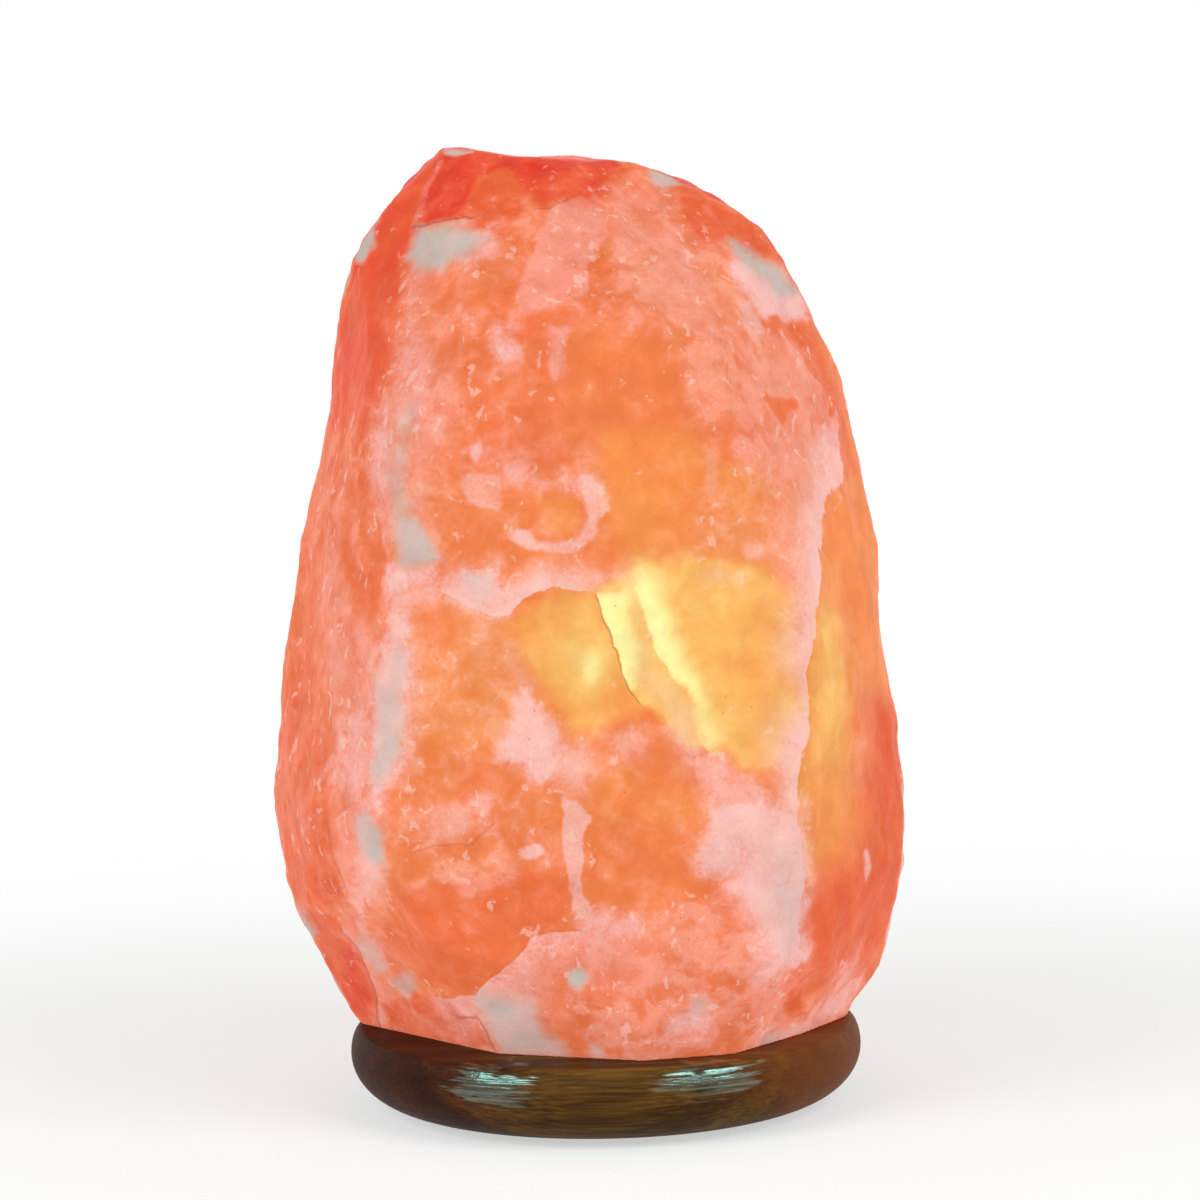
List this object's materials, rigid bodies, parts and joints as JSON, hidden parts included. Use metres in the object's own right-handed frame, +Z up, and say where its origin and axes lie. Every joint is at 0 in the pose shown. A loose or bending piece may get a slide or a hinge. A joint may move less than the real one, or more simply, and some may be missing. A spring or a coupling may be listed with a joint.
{
  "type": "salt crystal lamp",
  "caption": "Table lamp: a chiselled block of rock salt on a turned wooden foot, lit from inside by a small bulb in a clip-in lampholder pushed up its bore.",
  "frame": {"origin": "on the axis of the foot and its bore, in the plane of the table that the felt pad stands on", "axes": "+Z up; -Y towards the front, the side in the picture; +X to the right of it, along the crystal's breadth; the cord channel leaves at +Y"},
  "size_m": [0.1596, 0.13, 0.2434],
  "materials": {
    "rock_salt": "rough chiselled, translucent",
    "stained_wood": "dark stain under clear varnish",
    "felt": "pressed felt",
    "zinc_steel": "zinc plated",
    "nylon": "moulded",
    "holder_plastic": "moulded, satin",
    "block_ceramic": "unglazed",
    "socket_brass": "rolled sheet",
    "black_rubber": "moulded",
    "spring_wire": "drawn spring steel",
    "solder": "dull solder",
    "black_glass": "fused glass",
    "cap_metal": "rolled sheet",
    "bulb_glass": "clear blown glass",
    "stem_glass": "clear",
    "nickel_wire": "drawn",
    "tungsten": "coiled, lit"
  },
  "bodies": {
    "root": {"salt_crystal": "rock_salt", "wood_base": "stained_wood", "felt_pad": "felt", "crystal_screws": "zinc_steel", "crystal_plugs": "nylon"},
    "lampholder": {"holder_cap": "holder_plastic", "holder_shell": "holder_plastic", "terminal_block": "block_ceramic", "screw_shell": "socket_brass", "centre_contact": "socket_brass", "side_contact": "socket_brass", "terminal_screws": "zinc_steel", "cord_bush": "black_rubber", "cord_grip_bar": "nylon", "cord_grip_screws": "zinc_steel"},
    "clip_left": {"clip_left": "spring_wire"},
    "clip_right": {"clip_right": "spring_wire"},
    "bulb_tip": {"cap_contact": "solder"},
    "bulb": {"bulb_cap": "cap_metal", "cap_insulator": "black_glass", "bulb_glass": "bulb_glass", "bulb_stem": "stem_glass", "lead_wires": "nickel_wire", "filament_supports": "nickel_wire", "filament": "tungsten"}
  },
  "joints": [
    {"name": "holder_pull", "type": "slide", "parent": "root", "child": "lampholder", "axis": [0, 0, -1], "range_m": [0, 0.13]},
    {"name": "clip_left_squeeze", "type": "hinge", "parent": "lampholder", "child": "clip_left", "pos_m": [-0.0156, 0, 0.048], "axis": [0, -1, 0], "range_deg": [0, 12], "stiffness_Nm_per_rad": 0.02, "springref_deg": -28.65},
    {"name": "clip_right_squeeze", "type": "hinge", "parent": "lampholder", "child": "clip_right", "pos_m": [0.0156, 0, 0.048], "axis": [0, 1, 0], "range_deg": [0, 12], "stiffness_Nm_per_rad": 0.02, "springref_deg": -28.65},
    {"name": "bulb_travel", "type": "slide", "parent": "lampholder", "child": "bulb_tip", "axis": [0, 0, 1], "range_m": [0, 0.0125]},
    {"name": "bulb_turn", "type": "hinge", "parent": "bulb_tip", "child": "bulb", "pos_m": [0, 0, 0.04], "axis": [0, 0, 1], "range_deg": [0, 1530]}
  ],
  "couplings": [
    {"joint": "bulb_travel", "follows": "bulb_turn", "m_per_rad": 0.00044882}
  ]
}
